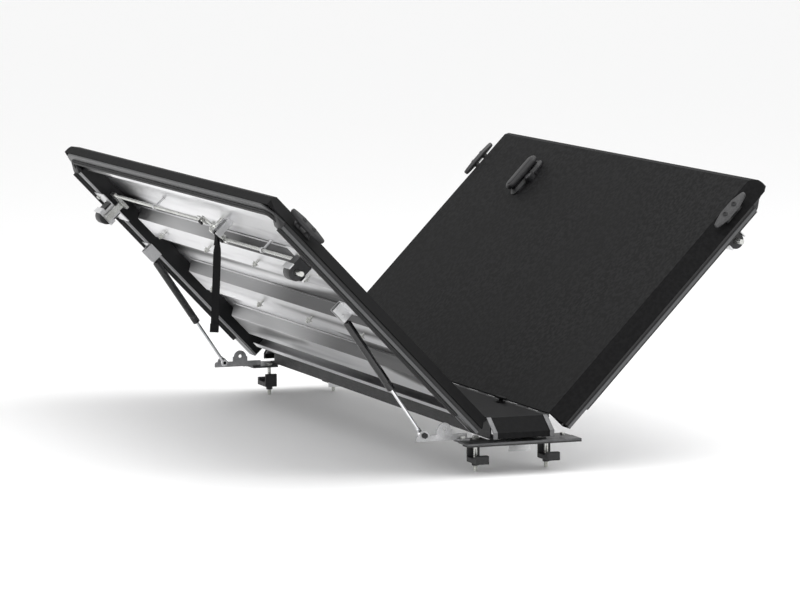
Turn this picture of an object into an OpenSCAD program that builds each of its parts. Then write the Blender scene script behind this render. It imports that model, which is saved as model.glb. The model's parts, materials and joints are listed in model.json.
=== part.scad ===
// Hard folding cover for a mid-size pickup bed. A fixed centre section clamps to the bed rails,
// and a rear and a front panel hinge up from it. Both panels stand open here.
// Frame: +X is the vehicle's right, +Y is towards the cab, +Z is up. The origin is the centre of
// the cover in plan, at the tips of its clamp bolts. Panel parts are written in a panel's own
// frame (x, distance from the hinge axis, height from the panel's top surface).

/* [Cover] */
// Half the width of the flat top
top_half_w = 750; // [700:5:800]
// Sideways reach of the bevel along each side
bevel_w = 42; // [36:1:48]
// Drop of the side bevel
bevel_drop = 31; // [28:1:33]
// Length of an opening panel, from its hinge axis to its far top edge
panel_len = 745; // [700:5:900]
// Reach of the bevel at a panel's far end
end_bevel = 14; // [12:1:20]
// Drop of the bevel at a panel's far end
end_drop = 12; // [8:1:14]
// Thickness of the coated sheet
sheet_t = 3; // [2.5:0.1:3.5]
// Size of the cut across a panel's far corners
corner_cut = 16; // [10:1:24]
// Radius of the perimeter rail at a panel's far corners
rail_corner_r = 60; // [52:1:70]

/* [Centre section] */
// Distance of each hinge axis from the middle of the cover
hinge_y = 80; // [78:1:90]
// Height of the cover's top above the bed rails
deck_h = 60; // [60:1:62]
// Reach of the clamp bolts below the bed rails
clamp_reach = 70; // [68:1:90]
// Half the length of a mounting plate
plate_half_l = 144; // [142:1:160]

/* [Motion] */
// Angle at which both panels stand open
open_deg = 46; // [30:1:50]
// Turn of a latch handle
handle_turn = 60; // [50:1:60]

/* [Hinges] */
// Radius of a hinge knuckle
knuckle_r = 5; // [4.5:0.1:5]
// Radius of a hinge pin
pin_r = 2; // [1.8:0.1:2.4]
// Number of knuckles along a hinge
knuckles = 24; // [16:2:30]

/* [Latches] */
// Sideways place of the rear handle
rear_handle_x = 40; // [0:1:44]
// Distance of the rear handle from its hinge
rear_handle_u = 580; // [570:1:590]
// Sideways place of the front handle
front_handle_x = -400; // [-420:1:-380]
// Distance of the front handle from its hinge
front_handle_u = 625; // [610:1:635]
// Crank radius of the latch rotor
crank_r = 34; // [32:1:36]
// Radius of a latch rod
rod_r = 4; // [3.5:0.1:4.2]

/* [Gas struts] */
// Radius of a strut's cylinder
strut_r = 9.5; // [8:0.1:10]
// Length of a rear strut's cylinder, from its eye to its mouth
rear_cyl_len = 217; // [200:1:225]
// Length of a front strut's cylinder, from its eye to its mouth
front_cyl_len = 226; // [215:1:235]

/* [Pull strap] */
// Hanging length of the strap
strap_len = 240; // [150:5:300]

/* [Hidden] */

$fn = 48;
eps = 1;                             // how far a cutting tool runs past the face that it cuts
fit_gap = 0.05;                      // radial clearance of a pin in its bore
slide_gap = 0.3;                     // clearance of a part that slides in its guide

// Colours
coat_black = [0.17, 0.17, 0.18];
bare_alu = [0.72, 0.73, 0.74];
satin_alu = [0.52, 0.53, 0.54];
zinc = [0.62, 0.62, 0.60];
rubber_black = [0.06, 0.06, 0.06];
plastic_black = [0.10, 0.10, 0.10];
strut_black = [0.08, 0.08, 0.09];
rod_chrome = [0.80, 0.80, 0.82];
web_black = [0.07, 0.07, 0.08];

// Levels and profile angles
rail_z = clamp_reach;                // top of the bed rails
top_z = rail_z + deck_h;             // top surface of the cover when closed
pin_drop = knuckle_r;                // depth of a hinge axis below the top surface
axis_z = top_z - pin_drop;
edge_gap = knuckle_r + 2;            // sheet edge to hinge axis
side_a = atan2(bevel_drop, bevel_w);
end_a = atan2(end_drop, end_bevel);
full_half_w = top_half_w + bevel_w;
full_len = panel_len + end_bevel;

// Underside levels, measured from a panel's top surface
side_return = bevel_drop + 2;        // foot of the sheet
lip_z = -50;                         // foot of the side rails
end_lip_z = -38;                     // foot of the rail across the far edge
crown_z = -31;                       // crown of the ribs
rotor_z = -30;                       // foot of the rotor plate
rod_z = -35;                         // axis of the latch rods
rail_in = 745;                       // inner face of the rail along the sides
rail_w = full_half_w - rail_in;      // side rail's width from the sheet's outer edge
end_rail_w = 34;                     // width of the rail across the far edge
run_end = full_len - rail_corner_r;  // where the side rails meet it
corner_x = full_half_w - rail_corner_r;  // where its round corners begin
corner_wall_z = -bevel_drop / 2;     // top of its inner wall in the corners, clear of the bevels
rail_seat_z = -deck_h;               // the bed rail's top
plate_foot = rail_seat_z + 3;        // foot of a mounting plate
plate_top = plate_foot + 5;

// Ribs
rib_u = [120, 288, 486];
rib_half_l = 680;
bolt_x = [-535, -178, 178, 535];

// Latch rods: the left rod passes beyond the handle, the right rod short of it
rod_off = 31;                        // rod line to the handle's axis
stem_x = 676;                        // inner face of a bolt's stem
bolt_z = -84;                        // axis of a sliding bolt
bolt_r = 6;
bolt_tip = 765;                      // tip of a sliding bolt when thrown
block_r = 20;                        // half width of a bolt's guide block
block_l = 40;
latch_in = 690;                      // inner edge of a latch plate
lock_x = 30;                         // lock to the handle's axis

// Handle levels above the panel
hub_top = 12;
grip_foot = 15.5;
grip_top = 31;

// Fixings of the mounting plates, as distances from the middle of the cover
clamp_at = [714, 90];
bar_bolt_at = [728, 126];
channel_bolt_at = [764, 50];

// Cleats and pull strap
cleat_u = 654;                       // middle of a cleat
cleat_off = 18;                      // bevel to cleat plate
cleat_t = 6;                         // thickness of a cleat plate
cleat_post = 16;                     // a cleat's middle to each of its posts
strap_x = 112;
strap_u = 588;
strap_pin_z = -46;
strap_w = 20;

// Strut pivots: place on the panel (distance from the hinge axis, height) and on the base (y, z)
rear_strut_x = 700;
rear_pivot = [418, -70];
rear_stud = [220, rail_z + 22];
front_strut_x = 600;
front_pivot = [300, -46];
front_stud = [78, rail_z - 30];
eye_r = 9;
eye_half_w = 5;
stud_r = 4;

// ---------- shared profiles and placement ----------

// Cross-section of the bevelled top, inset by t, down to the level foot
function side_profile(t, foot) =
    let (x1 = top_half_w - t * tan(side_a / 2),
         x2 = full_half_w - t,
         z2 = -bevel_drop - t * tan((90 - side_a) / 2))
    [[-x2, foot], [-x2, z2], [-x1, -t], [x1, -t], [x2, z2], [x2, foot]];

// Lengthwise section of an opening panel, inset by t, down to the level foot
function end_profile(t, foot, start) =
    let (u1 = panel_len - t * tan(end_a / 2),
         u2 = full_len - t,
         z2 = -end_drop - t * tan((90 - end_a) / 2))
    [[start, foot], [start, -t], [u1, -t], [u2, z2], [u2, foot]];

// Outline of an opening panel from above, inset by t
function plan_outline(t, start) =
    let (w = full_half_w - t, l = full_len - t, c = corner_cut - t * (2 - sqrt(2)))
    [[-w, start], [w, start], [w, l - c], [w - c, l], [-w + c, l], [-w, l - c]];

// A point of the front panel when it stands open, as [y, z]
function opened(p) =
    [hinge_y + p[0] * cos(open_deg) - (p[1] + pin_drop) * sin(open_deg),
     axis_z + p[0] * sin(open_deg) + (p[1] + pin_drop) * cos(open_deg)];

// Extrudes an (x, z) outline along y, from y0 to y1
module along_y(y0, y1) translate([0, y1, 0]) rotate([90, 0, 0]) linear_extrude(y1 - y0) children();

// Extrudes a (y, z) outline along x, from x0 to x1
module along_x(x0, x1) translate([x0, 0, 0]) rotate([90, 0, 90]) linear_extrude(x1 - x0) children();

module both_sides() {
    children();
    mirror([1, 0, 0]) children();
}

module rod_along_x(x0, x1, r) translate([x0, 0, 0]) rotate([0, 90, 0]) cylinder(r = r, h = x1 - x0);

module front_closed() translate([0, hinge_y, top_z]) children();

module in_front()
    translate([0, hinge_y, axis_z])
        rotate([open_deg, 0, 0])
            translate([0, 0, pin_drop]) children();

module in_rear() mirror([0, 1, 0]) in_front() children();

module in_centre() translate([0, 0, top_z]) children();

// Washer, hex nut and stud seen from below, with the seat at z = 0
module stud_and_nut(up) {
    difference() {
        translate([0, 0, -1.6]) cylinder(r = 9, h = 1.6);
        translate([0, 0, -1.6 - eps]) cylinder(r = 3.1, h = 1.6 + 2 * eps);
    }
    difference() {
        translate([0, 0, -7]) cylinder(r = 6.5, h = 5.4, $fn = 6);
        translate([0, 0, -7 - eps]) cylinder(r = 3.1, h = 5.4 + 2 * eps);
    }
    translate([0, 0, -9]) cylinder(r = 3, h = 9 + up);
}

// Hex-headed bolt with its seat at z = 0, head upwards, shank downwards
module hex_bolt(r, head_r, head_h, shank) {
    cylinder(r = head_r, h = head_h, $fn = 6);
    translate([0, 0, -shank]) cylinder(r = r, h = shank + eps);
}

// ---------- panel parts ----------

module panel_block(t, start) intersection() {
    along_y(start, full_len) polygon(side_profile(t, -side_return - t));
    along_x(-full_half_w, full_half_w) polygon(end_profile(t, -side_return - t, start));
    translate([0, 0, -2 * side_return])
        linear_extrude(2 * side_return) polygon(plan_outline(t, start));
}

module panel_skin(hx, hu) color(coat_black) difference() {
    panel_block(0, edge_gap);
    panel_block(sheet_t, -eps);
    translate([hx, hu, -sheet_t - eps]) cylinder(r = 6 + slide_gap, h = sheet_t + 2 * eps);
    translate([hx + lock_x, hu, -sheet_t - eps]) cylinder(r = 9.5, h = sheet_t + 2 * eps);
}

// Outline of the perimeter rail from above, inset by t, with round far corners
module rail_outline(t, start) {
    w = full_half_w - t;
    l = full_len - t;
    r = rail_corner_r - t;
    intersection() {
        translate([-w, start]) square([2 * w, l - start]);
        union() {
            translate([-w, start - r]) square([2 * w, l - start]);
            translate([-w + r, start]) square([2 * (w - r), l - start]);
            for (s = [-1, 1]) translate([s * (w - r), l - r]) circle(r = r);
        }
    }
}

// Upright band between two insets of the rail's outline, from z0 to z1
module rail_band(t0, t1, z0, z1, start) difference() {
    translate([0, 0, z0]) linear_extrude(z1 - z0) rail_outline(t0, start);
    translate([0, 0, z0 - eps]) linear_extrude(z1 - z0 + 2 * eps) rail_outline(t1, start - eps);
}

// Rail round three sides of a panel: foot, outer lip, outer web and inner wall
module rail_run(t0, t1, z0, z1, start, end = run_end) both_sides()
    translate([full_half_w - t1, start, z0]) cube([t1 - t0, end - start, z1 - z0]);

module side_rails() color(satin_alu) {
    start = edge_gap + 1;
    rail_run(1.5, rail_w, lip_z, lip_z + 3, start);
    rail_run(1.5, 6, lip_z, lip_z + 10, start);
    rail_run(6, 9, lip_z + 2, -bevel_drop, start);
    rail_run(rail_w - 3, rail_w, lip_z + 2, -sheet_t, start);
    // Far edge with its round corners
    rail_band(1.5, end_rail_w, end_lip_z, end_lip_z + 3, run_end - 1);
    rail_band(1.5, 6, end_lip_z, -side_return - slide_gap, run_end - 1);
    rail_band(6, 9, end_lip_z + 2, -bevel_drop, run_end - 1);
    rail_band(end_rail_w - 3, end_rail_w, end_lip_z + 2, corner_wall_z, run_end - 1);
    translate([-corner_x, full_len - end_rail_w, corner_wall_z - 1])
        cube([2 * corner_x, 3, 1 - corner_wall_z - sheet_t]);
}

// Stiffener along the far edge, against the rail's inner wall
module edge_channel() color(bare_alu) {
    half_l = corner_x - 2;
    far = full_len - end_rail_w - slide_gap;
    along_x(-half_l, half_l)
        polygon([[far - 46, -3], [far - 46, -5], [far - 40, -5], [far - 31, crown_z],
                 [far, crown_z], [far, crown_z + 2], [far - 29.6, crown_z + 2], [far - 38.6, -3]]);
}

// A hat section: flanges under the sheet, sloped webs and a flat crown
module hat_profile()
    polygon([[-58, -3], [-58, -5], [-51, -5], [-35, crown_z], [35, crown_z], [51, -5], [58, -5],
             [58, -3], [49.8, -3], [33.6, crown_z + 2], [-33.6, crown_z + 2], [-49.8, -3]]);

module ribs() color(bare_alu) {
    difference() {
        for (u = rib_u) translate([0, u, 0]) along_x(-rib_half_l, rib_half_l) hat_profile();
        for (x = bolt_x, u = [rib_u[1], rib_u[2]])
            translate([x, u, crown_z - eps]) cylinder(r = 3.2, h = 2 + 2 * eps);
    }
    // Stiffener along the hinge
    along_x(-rib_half_l, rib_half_l)
        polygon([[44, -3], [44, -40], [60, -40], [60, -38], [46, -38], [46, -3]]);
}

module panel_bolts(hu) color(zinc) {
    for (x = bolt_x, u = [rib_u[1], rib_u[2]])
        translate([x, u, crown_z]) stud_and_nut(-crown_z - sheet_t);
    // Latch plate screws, under the side rails
    both_sides() for (d = [-34, 34]) translate([756, hu + d, lip_z - 7.5])
        cylinder(r = 6, h = 4.5, $fn = 6);
    // Cleat screws
    both_sides() for (d = [-cleat_post, cleat_post])
        cleat_place() translate([0, d, cleat_off + cleat_t]) cylinder(r = 6.5, h = 3);
}

module panel_seals() color(rubber_black) {
    landing = plate_half_l - hinge_y + 8;
    // Strip between the sheet's foot and the side rail's lip
    rail_run(2.6, 6, lip_z + 10.1, -side_return - 0.1, edge_gap + 2, run_end - 1 - slide_gap);
    // Seal that lands on the bed rails: foot and ridge
    rail_run(8, 24, lip_z - 3, lip_z, landing);
    rail_run(12, 20, lip_z - 8, lip_z - 2, landing);
    // Seal along the far edge
    rail_band(19, 33, end_lip_z - 3, end_lip_z, run_end - 1);
    rail_band(22, 30, end_lip_z - 7, end_lip_z - 2, run_end - 1);
}

// Cleat frame: centred on the bevel, +y along the panel, +z out of the bevel
module cleat_place()
    translate([top_half_w + bevel_w / 2, cleat_u, -bevel_drop / 2]) rotate([0, side_a, 0]) children();

module cleats() color(coat_black) both_sides() cleat_place() {
    // Plate, wide in the middle and narrow at its tips
    translate([0, 0, cleat_off]) linear_extrude(cleat_t)
        polygon([[-17, -24], [-17, 24], [-9, 46], [-6, 54], [6, 54], [9, 46], [17, 24],
                 [17, -24], [9, -46], [6, -54], [-6, -54], [-9, -46]]);
    for (d = [-cleat_post, cleat_post]) translate([0, d, 0]) cylinder(r = 6, h = cleat_off);
    translate([-9, -26, 0]) cube([18, 52, 2]);
}

module stadium(l, w) {
    square([w, l - w], center = true);
    for (d = [-1, 1]) translate([0, d * (l - w) / 2]) circle(d = w);
}

module handle_base(hx, hu) color(plastic_black) translate([hx, hu, 0]) difference() {
    union() {
        linear_extrude(3) stadium(118, 44);
        cylinder(r = 15, h = hub_top);
        translate([lock_x, 0, 0]) cylinder(r = 14, h = hub_top + 1);
    }
    translate([0, 0, -eps]) cylinder(r = 6 + fit_gap, h = hub_top + 3);
    translate([lock_x, 0, -eps]) cylinder(r = 9 + fit_gap, h = hub_top + 4);
}

module handle(hx, hu) color(plastic_black) translate([hx, hu, 0]) {
    translate([0, 0, rotor_z - 12]) cylinder(r = 6, h = 12 - rotor_z + grip_foot + eps);
    translate([0, 0, hub_top + 0.5]) cylinder(r = 10, h = grip_foot - hub_top);
    translate([0, 0, grip_foot]) linear_extrude(grip_top - grip_foot) stadium(112, 36);
}

module rotor(hx, hu) color(zinc) translate([hx, hu, 0]) {
    difference() {
        rotate([0, 0, handle_turn / 2]) {
            translate([-8, -crank_r, rotor_z]) cube([16, 2 * crank_r, 4]);
            for (d = [-1, 1]) translate([0, d * crank_r, rotor_z]) cylinder(r = 8, h = 4);
            translate([0, 0, rotor_z]) cylinder(r = 14, h = 12);
            for (d = [-1, 1]) translate([0, d * crank_r, rotor_z - 9]) cylinder(r = 4, h = 10);
        }
        translate([0, 0, rotor_z - eps]) cylinder(r = 6 + fit_gap, h = 20);
    }
    // Nut that holds the rotor on the spindle
    difference() {
        translate([0, 0, rotor_z - 8]) cylinder(r = 10, h = 8, $fn = 6);
        translate([0, 0, rotor_z - 8 - eps]) cylinder(r = 6 + fit_gap, h = 8 + 2 * eps);
    }
}

module lock_cylinder(hx, hu) color(rod_chrome) translate([hx + lock_x, hu, 0]) {
    difference() {
        translate([0, 0, -10]) cylinder(r = 9, h = 24);
        // Keyway
        translate([-0.8, -4, 12]) cube([1.6, 8, 3]);
    }
    // Locking cam under the sheet
    translate([-5, -16, -13]) cube([10, 21, 3]);
}

// Latch plates, one under each side of the rail, with a U-shaped strap round the bolt's block
module latch_plates(hu) both_sides() translate([latch_in, hu, 0]) {
    strap_half = block_r + slide_gap + 3;
    translate([0, -50, lip_z - 3]) cube([76, 100, 3]);
    difference() {
        union() {
            translate([0, -strap_half, bolt_z - 8]) cube([50, 2 * strap_half, 16]);
            translate([0, -16, bolt_z]) cube([3, 32, lip_z - bolt_z - 2]);
        }
        translate([3, 3 - strap_half, bolt_z - 9]) cube([50, 2 * strap_half - 6, 18]);
        translate([0, 0, bolt_z]) rod_along_x(-eps, 5, bolt_r + 1);
    }
}

// Anchor of the pull strap: two cheeks and a pin
module strap_anchor() translate([strap_x, strap_u, 0]) {
    for (s = [-1, 1]) translate([s * 13.5 - 1.5, -8, strap_pin_z - 6])
        cube([3, 16, 6 - strap_pin_z - sheet_t]);
    translate([-15, -8, -sheet_t - 3]) cube([30, 16, 3]);
    translate([0, 0, strap_pin_z]) rod_along_x(-15, 15, 3);
}

// Slim hanger that carries a latch rod
module rod_clip(x, u) translate([x, u, 0]) difference() {
    union() {
        translate([0, 0, rod_z]) rod_along_x(-4, 4, 7);
        translate([-4, -2, rod_z]) cube([8, 4, -rod_z - sheet_t]);
        translate([-4, -4.5, -sheet_t - 2]) cube([8, 9, 2]);
    }
    translate([0, 0, rod_z]) rod_along_x(-5, 5, rod_r + slide_gap);
}

module latch_brackets(hx, hu, clip_x, with_anchor) color(bare_alu) {
    latch_plates(hu);
    for (x = clip_x) rod_clip(x, hu - sign(x - hx) * rod_off);
    if (with_anchor) strap_anchor();
}

// Guide block that each sliding bolt runs through, with a round foot
module latch_guides(hu) color(plastic_black) both_sides() translate([latch_in + 3 + slide_gap, hu, bolt_z])
    difference() {
        union() {
            translate([0, -block_r, 0]) cube([block_l, 2 * block_r, lip_z - 3 - bolt_z]);
            rod_along_x(0, block_l, block_r);
        }
        rod_along_x(-eps, block_l + eps, bolt_r + slide_gap);
    }

// One latch rod with its yoke and sliding bolt, drawn for the right side
module latch_rod_right(hx, hu) color(zinc) translate([0, hu, 0]) {
    pin_x = hx + crank_r * sin(handle_turn / 2);
    pin_u = -crank_r * cos(handle_turn / 2);
    // Yoke, with a slot for the rotor's pin
    difference() {
        translate([pin_x - 10, pin_u - 15, rod_z - 2]) cube([20, 26, 4]);
        translate([pin_x - 4.6, -crank_r - 4.6, rod_z - 3]) cube([9.2, crank_r + pin_u + 9.2, 6]);
    }
    translate([0, -rod_off, rod_z]) rod_along_x(pin_x + 9, stem_x - 19, rod_r);
    // Carriage, stem and bolt
    difference() {
        translate([stem_x - 20, -rod_off - 7, rod_z - 4]) cube([30, rod_off + 21, 8]);
        translate([stem_x - 12, -20, rod_z - 5]) cube([10, 26, 10]);
    }
    translate([stem_x, -8, bolt_z - 8]) cube([10, 16, rod_z - bolt_z + 5]);
    translate([0, 0, bolt_z]) rod_along_x(stem_x, bolt_tip, bolt_r);
}

// The left rod is the right rod of a mirrored handle place, turned half a turn about the handle
module latch_rod_left(hx, hu) translate([0, hu, 0]) rotate([0, 0, 180])
    translate([0, -hu, 0]) latch_rod_right(-hx, hu);

// Clevis for a strut's upper eye, on an arm that reaches sideways to what carries it
module strut_clevis(sx, p, base_z, arm_to) color(bare_alu) translate([0, p[0], 0]) both_sides() {
    for (s = [-1, 1]) translate([sx + s * 7.5 - 2, -14, p[1] - 10])
        cube([4, 40, base_z - p[1] + 10]);
    translate([sx - 9.5, -14, base_z - 3]) cube([arm_to - sx + 9.5, 40, 3]);
    translate([sx, 0, p[1]]) rod_along_x(-12, 12, stud_r);
}

// ---------- gas struts, drawn in the (y, z) plane of the front, from panel to base ----------

module strut_line(sx, top, base)
    translate([sx, top[0], top[1]])
        rotate([atan2(base[1] - top[1], base[0] - top[0]), 0, 0]) children();

module strut_cylinder(cyl_len) color(strut_black) difference() {
    union() {
        rod_along_x(-eye_half_w, eye_half_w, eye_r);
        translate([0, 6, 0]) rotate([-90, 0, 0]) cylinder(r = 4.5, h = 18);
        translate([0, 20, 0]) rotate([-90, 0, 0]) cylinder(r = strut_r, h = cyl_len - 20);
    }
    rod_along_x(-6, 6, stud_r + fit_gap);
    translate([0, 28, 0]) rotate([-90, 0, 0]) cylinder(r = strut_r - 2, h = cyl_len - 38);
    translate([0, cyl_len - 12, 0]) rotate([-90, 0, 0]) cylinder(r = 4 + fit_gap, h = 20);
}

module strut_rod(cyl_len, open_len) color(rod_chrome) {
    translate([0, cyl_len - 30, 0]) rotate([-90, 0, 0]) cylinder(r = strut_r - 2 - fit_gap, h = 14);
    translate([0, cyl_len - 20, 0]) rotate([-90, 0, 0])
        cylinder(r = 4, h = open_len - cyl_len + 20 - eye_r + 2);
    translate([0, open_len, 0]) rod_along_x(-eye_half_w, eye_half_w, eye_r);
}

rear_top = opened(rear_pivot);
rear_open_len = norm(rear_top - rear_stud);
front_top = opened(front_pivot);
front_open_len = norm(front_top - front_stud);

module rear_strut() mirror([0, 1, 0]) strut_line(rear_strut_x, rear_top, rear_stud) children();
module front_strut() strut_line(front_strut_x, front_top, front_stud) children();
module on_left() mirror([1, 0, 0]) children();

// ---------- centre section ----------

module centre_skin() color(coat_black) in_centre() difference() {
    along_y(-hinge_y + edge_gap, hinge_y - edge_gap) polygon(side_profile(0, -45));
    along_y(-hinge_y, hinge_y) polygon(side_profile(sheet_t, -46));
}

module cross_channels() color(satin_alu) in_centre() for (s = [0, 1]) mirror([0, s, 0]) {
    along_x(-rail_in, rail_in)
        polygon([[35, -8.5], [35, -5.5], [65, -5.5], [65, plate_top], [35, plate_top],
                 [35, plate_top + 3], [62, plate_top + 3], [62, -8.5]]);
    both_sides() difference() {
        translate([rail_in - eps, 35, plate_top]) cube([30 + eps, 30, 3]);
        translate([channel_bolt_at[0], channel_bolt_at[1], plate_top - eps]) cylinder(r = 4.3, h = 5);
    }
}

// Trims over the ends of the centre section's side bevels
module centre_end_trims() color(satin_alu) in_centre() both_sides()
    for (s = [0, 1]) mirror([0, s, 0]) along_y(hinge_y - edge_gap - 7, hinge_y - 3)
        polygon([[top_half_w + 1.5 * sin(side_a), 1.5 * cos(side_a)],
                 [full_half_w + 1.8, -bevel_drop + 1], [full_half_w + 1.8, -45],
                 [full_half_w, -45], [full_half_w, -bevel_drop], [top_half_w, 0]]);

module mounting_plates() color(satin_alu) in_centre() both_sides() difference() {
    union() {
        translate([742, -plate_half_l, plate_foot]) cube([58, 2 * plate_half_l, 5]);
        for (s = [0, 1]) mirror([0, s, 0]) translate([700, 70, plate_foot]) cube([43, 70, 5]);
    }
    for (s = [-1, 1]) {
        translate([clamp_at[0], s * clamp_at[1], plate_foot - eps]) cylinder(r = 5.5, h = 7);
        translate([bar_bolt_at[0], s * bar_bolt_at[1], plate_foot - eps]) cylinder(r = 4.3, h = 7);
        translate([channel_bolt_at[0], s * channel_bolt_at[1], plate_foot - eps])
            cylinder(r = 4.3, h = 7);
    }
}

module plate_gaskets() color(rubber_black) in_centre() both_sides()
    translate([768, -plate_half_l, rail_seat_z]) cube([32, 2 * plate_half_l, 3]);

module mounting_bolts() color(zinc) in_centre() both_sides() {
    for (s = [-1, 1]) {
        translate([clamp_at[0], s * clamp_at[1], plate_top]) hex_bolt(5, 8.5, 6, plate_top + top_z);
        translate([bar_bolt_at[0], s * bar_bolt_at[1], plate_top + (s < 0 ? 4 : 0)])
            hex_bolt(4, 6.5, 5, s < 0 ? 9 : 5);
        translate([channel_bolt_at[0], s * channel_bolt_at[1], plate_top + 3])
            hex_bolt(4, 6.5, 5, 8);
    }
}

// Upright bar on each side that carries a rear strut's lower stud
module strut_rail_brackets() color(bare_alu) in_centre() both_sides() difference() {
    union() {
        along_x(716, 720) {
            polygon([[-240, plate_top], [-113, plate_top], [-113, plate_top + 14],
                     [-236, plate_top + 14], [-240, plate_top + 10]]);
            translate([-rear_stud[0], rear_stud[1] - top_z]) circle(r = 12);
            translate([-190, plate_top + 10]) square([40, 16]);
            translate([-170, plate_top + 25]) circle(r = 17);
        }
        translate([716, -140, plate_top]) cube([22, 27, 4]);
    }
    translate([710, -170, plate_top + 27]) rod_along_x(0, 20, 4.5);
    translate([bar_bolt_at[0], -bar_bolt_at[1], plate_top - eps]) cylinder(r = 4.3, h = 7);
}

module strut_rail_studs() color(zinc) both_sides() translate([0, -rear_stud[0], rear_stud[1]]) {
    rod_along_x(rear_strut_x + eye_half_w + 0.4, 716, stud_r + 1);
    translate([720, 0, 0]) rotate([0, 90, 0]) cylinder(r = 7, h = 6, $fn = 6);
}

module front_strut_hangers() color(bare_alu) both_sides() {
    translate([front_strut_x + 9, 38, top_z + plate_top - 52]) cube([4, 54, 49]);
    translate([front_strut_x + 9, 38, top_z + plate_top - 3]) cube([32, 27, 3]);
    translate([0, front_stud[0], front_stud[1]])
        rod_along_x(front_strut_x + eye_half_w + 0.4, front_strut_x + 9, stud_r + 1);
}

// Hooked jaw that draws the plate down on the rail, with its nut below
module clamp_jaw() color(plastic_black) {
    difference() {
        union() {
            translate([699, -16, 22]) cube([63, 32, 12]);
            translate([748, -16, 34]) cube([14, 32, 8]);
            translate([699, -16, 34]) cube([5, 32, 22]);
        }
        translate([clamp_at[0], 0, 21]) cylinder(r = 5 + slide_gap, h = 14);
    }
    difference() {
        translate([clamp_at[0], 0, 14]) cylinder(r = 9, h = 8, $fn = 6);
        translate([clamp_at[0], 0, 13]) cylinder(r = 5 + slide_gap, h = 10);
    }
}

module centre_tie_downs() color(coat_black) in_centre() both_sides() translate([514, 58, 0]) {
    cylinder(r = 11, h = 3);
    cylinder(r = 5, h = 9);
    translate([0, 0, 9]) linear_extrude(5)
        polygon([[-30, -3], [-9, -6], [9, -6], [30, -3], [30, 3], [9, 6], [-9, 6], [-30, 3]]);
}

// ---------- hinges ----------

knuckle_pitch = (2 * rail_in - 2) / knuckles;
leaf_reach = 40;

module leaf(phase) difference() {
    union() {
        translate([-rail_in + 5, knuckle_r + 1, -5.5]) cube([2 * rail_in - 10, leaf_reach - 6, 2.5]);
        for (i = [phase:2:knuckles - 1]) {
            x0 = -rail_in + 1 + i * knuckle_pitch + 0.5;
            translate([0, 0, -pin_drop]) rod_along_x(x0, x0 + knuckle_pitch - 1, knuckle_r);
            translate([x0, 0, -5.5]) cube([knuckle_pitch - 1, knuckle_r + 2, 2.5]);
        }
    }
    translate([0, 0, -pin_drop]) rod_along_x(-rail_in - eps, rail_in + eps, pin_r + fit_gap);
}

module fixed_leaf() color(coat_black) front_closed() mirror([0, 1, 0]) leaf(0);
module moving_leaf() color(coat_black) in_front() leaf(1);

module hinge_pins() color(zinc) for (s = [-1, 1])
    translate([0, s * hinge_y, axis_z]) rod_along_x(-rail_in + 2, rail_in - 2, pin_r);

// ---------- pull strap ----------

module pull_strap() color(web_black) {
    p = opened([strap_u, strap_pin_z]);
    translate([strap_x, -p[0], p[1]]) {
        difference() {
            rod_along_x(-strap_w / 2, strap_w / 2, 5.5);
            rod_along_x(-strap_w / 2 - eps, strap_w / 2 + eps, 3 + fit_gap);
        }
        translate([-strap_w / 2, -1.5, -strap_len]) cube([strap_w, 3, strap_len - 4]);
        translate([-strap_w / 2 - 1, -3, -strap_len - 4]) cube([strap_w + 2, 6, 24]);
    }
}

// ---------- nodes ----------

centre_skin();
cross_channels();
centre_end_trims();
mounting_plates();
plate_gaskets();
mounting_bolts();
strut_rail_brackets();
strut_rail_studs();
front_strut_hangers();
translate([0, -clamp_at[1], 0]) on_left() clamp_jaw();  // clamp_jaw_rear_left
translate([0, -clamp_at[1], 0]) clamp_jaw();  // clamp_jaw_rear_right
translate([0, clamp_at[1], 0]) on_left() clamp_jaw();  // clamp_jaw_front_left
translate([0, clamp_at[1], 0]) clamp_jaw();  // clamp_jaw_front_right
centre_tie_downs();
mirror([0, 1, 0]) fixed_leaf();  // rear_hinge_fixed_leaf
mirror([0, 1, 0]) moving_leaf();  // rear_hinge_moving_leaf
fixed_leaf();  // front_hinge_fixed_leaf
moving_leaf();  // front_hinge_moving_leaf
hinge_pins();

in_rear() panel_skin(rear_handle_x, rear_handle_u);  // rear_skin
in_rear() side_rails();  // rear_side_rails
in_rear() edge_channel();  // rear_edge_channel
in_rear() ribs();  // rear_ribs
in_rear() panel_bolts(rear_handle_u);  // rear_panel_bolts
in_rear() panel_seals();  // rear_seals
in_rear() cleats();  // rear_cleats
in_rear() handle_base(rear_handle_x, rear_handle_u);  // rear_handle_base
in_rear() handle(rear_handle_x, rear_handle_u);  // rear_handle
in_rear() rotor(rear_handle_x, rear_handle_u);  // rear_rotor
in_rear() lock_cylinder(rear_handle_x, rear_handle_u);  // rear_lock_cylinder
in_rear() latch_brackets(rear_handle_x, rear_handle_u, [-340, 340], true);  // rear_latch_brackets
in_rear() latch_guides(rear_handle_u);  // rear_latch_guides
in_rear() strut_clevis(rear_strut_x, rear_pivot, lip_z, 766);  // rear_strut_brackets
in_rear() latch_rod_left(rear_handle_x, rear_handle_u);  // rear_latch_rod_left
in_rear() latch_rod_right(rear_handle_x, rear_handle_u);  // rear_latch_rod_right

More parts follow.
